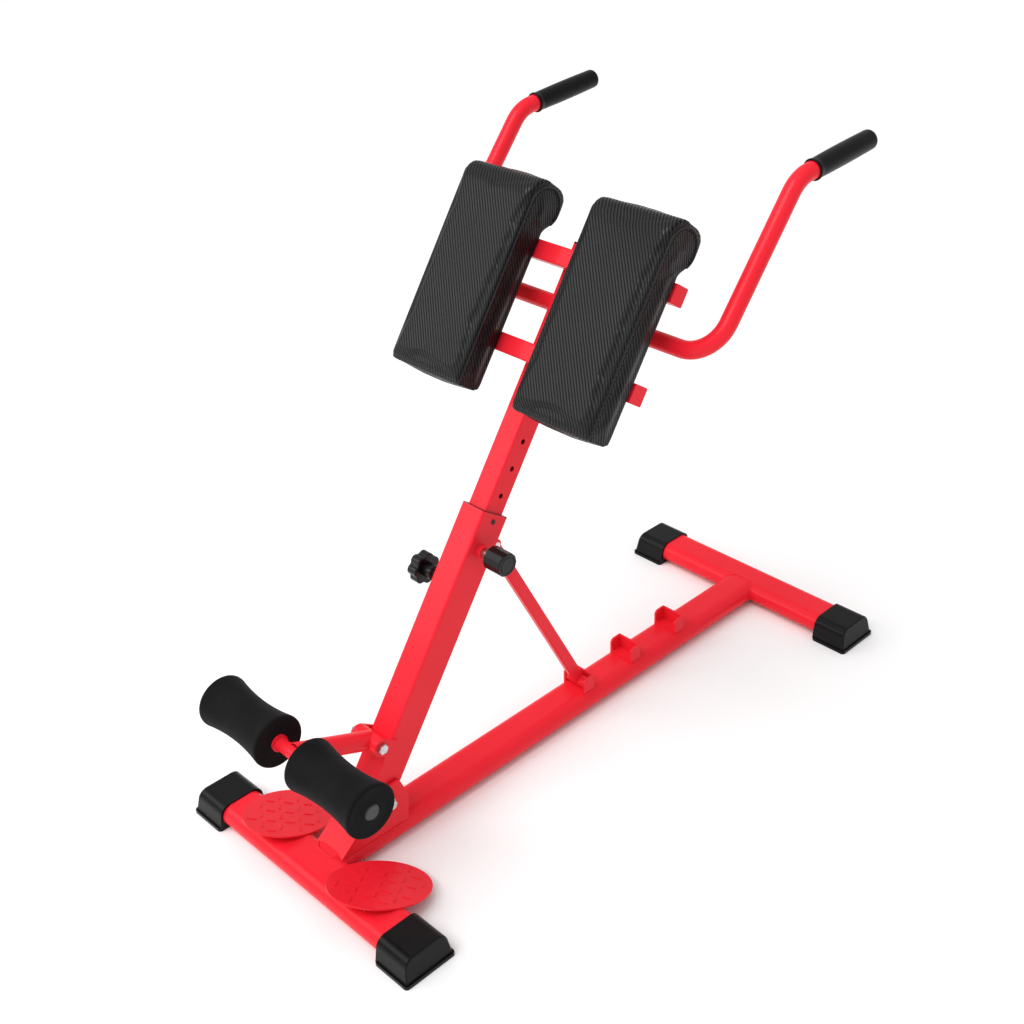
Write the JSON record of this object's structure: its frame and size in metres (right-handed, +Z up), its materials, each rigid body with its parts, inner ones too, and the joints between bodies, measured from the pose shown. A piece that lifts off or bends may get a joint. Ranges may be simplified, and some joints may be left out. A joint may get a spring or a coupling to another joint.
{
  "type": "roman chair",
  "caption": "Folding hyperextension bench: raked telescopic post on a T-shaped floor frame, twin thigh pads, side handles, foam ankle rollers and foot plates.",
  "frame": {"origin": "on the floor, at the middle of the overall length, on the centre plane", "axes": "+X the way the user faces, from the foot-plate end to the rear foot; +Y the user's left; +Z up"},
  "size_m": [1.2044, 0.605, 1.042],
  "materials": {
    "red_paint": "smooth bright red powder coat, satin gloss",
    "zinc": "zinc-plated steel",
    "cap_rubber": "satin black moulded rubber",
    "foam": "matt black closed-cell foam",
    "grip_rubber": "smooth black soft rubber",
    "vinyl": "black ribbed weave-pattern vinyl, stitched",
    "board": "plywood, edges sealed",
    "black_plastic": "moulded black plastic",
    "grey_plastic": "moulded dark grey plastic"
  },
  "bodies": {
    "base": {"front_cross_tube": "red_paint", "rear_cross_tube": "red_paint", "main_beam": "red_paint", "front_left_foot_cap": "cap_rubber", "front_right_foot_cap": "cap_rubber", "rear_left_foot_cap": "cap_rubber", "rear_right_foot_cap": "cap_rubber", "left_foot_plate": "red_paint", "right_foot_plate": "red_paint", "foot_plate_stands": "red_paint", "strut_catch_1": "red_paint", "strut_catch_2": "red_paint", "strut_catch_3": "red_paint", "pivot_bracket": "red_paint", "pivot_bolt": "zinc", "pivot_nut": "zinc", "pivot_washers": "zinc"},
    "lower_post": {"lower_post": "red_paint", "pivot_sleeve": "zinc", "post_guide": "black_plastic", "guide_rivet": "black_plastic", "pull_pin_boss": "red_paint", "pull_pin_barrel": "zinc", "pull_pin_spring": "zinc", "clamp_boss": "red_paint", "strut_bracket": "red_paint", "strut_pin": "zinc", "arm_ears": "red_paint", "arm_bolt": "zinc", "arm_nut": "zinc"},
    "strut": {"strut_bar": "red_paint", "strut_rod": "red_paint"},
    "upper_post": {"upper_post": "red_paint", "upper_post_cap": "black_plastic", "lower_glide": "black_plastic", "top_crossbar": "red_paint", "bottom_crossbar": "red_paint", "crossbar_ends": "red_paint", "handle_tube": "red_paint", "left_grip": "grip_rubber", "right_grip": "grip_rubber", "left_pad_board": "board", "right_pad_board": "board", "left_pad": "vinyl", "right_pad": "vinyl", "pad_bolts": "zinc", "tee_nuts": "zinc"},
    "pull_pin": {"pull_pin": "zinc", "pull_pin_knob": "black_plastic"},
    "clamp": {"clamp_screw": "zinc", "clamp_knob": "black_plastic"},
    "roller_arm": {"arm_sleeve": "red_paint", "roller_arm": "red_paint", "roller_bar": "red_paint", "roller_stops": "red_paint", "roller_plugs": "grey_plastic"},
    "left_roller": {"left_roller_core": "grey_plastic", "left_roller_foam": "foam"},
    "right_roller": {"right_roller_core": "grey_plastic", "right_roller_foam": "foam"}
  },
  "joints": [
    {"name": "post_tilt", "type": "hinge", "parent": "base", "child": "lower_post", "pos_m": [-0.41361, 0, 0.08928], "axis": [0, 1, 0], "range_deg": [-34.4, 0]},
    {"name": "strut_swing", "type": "hinge", "parent": "lower_post", "child": "strut", "pos_m": [-0.14017, 0, 0.43943], "axis": [0, 1, 0], "range_deg": [-0.5, 61.99]},
    {"name": "post_slide", "type": "slide", "parent": "lower_post", "child": "upper_post", "axis": [0.565, 0, 0.8251], "range_m": [-0.184, 0.046]},
    {"name": "pin_pull", "type": "slide", "parent": "lower_post", "child": "pull_pin", "axis": [0, 1, 0], "range_m": [0, 0.009]},
    {"name": "clamp_turn", "type": "hinge", "parent": "lower_post", "child": "clamp", "pos_m": [-0.22226, 0.06, 0.39989], "axis": [0, 1, 0], "continuous": true},
    {"name": "arm_tilt", "type": "hinge", "parent": "lower_post", "child": "roller_arm", "pos_m": [-0.41703, 0, 0.20288], "axis": [0, 1, 0], "range_deg": [-15, 70]},
    {"name": "left_roller_spin", "type": "hinge", "parent": "roller_arm", "child": "left_roller", "pos_m": [-0.55825, 0.11, 0.264], "axis": [0, 1, 0], "continuous": true},
    {"name": "right_roller_spin", "type": "hinge", "parent": "roller_arm", "child": "right_roller", "pos_m": [-0.55825, -0.11, 0.264], "axis": [0, 1, 0], "continuous": true}
  ],
  "couplings": [
    {"joint": "strut_swing", "follows": "post_tilt", "ratio": -1.7876}
  ]
}
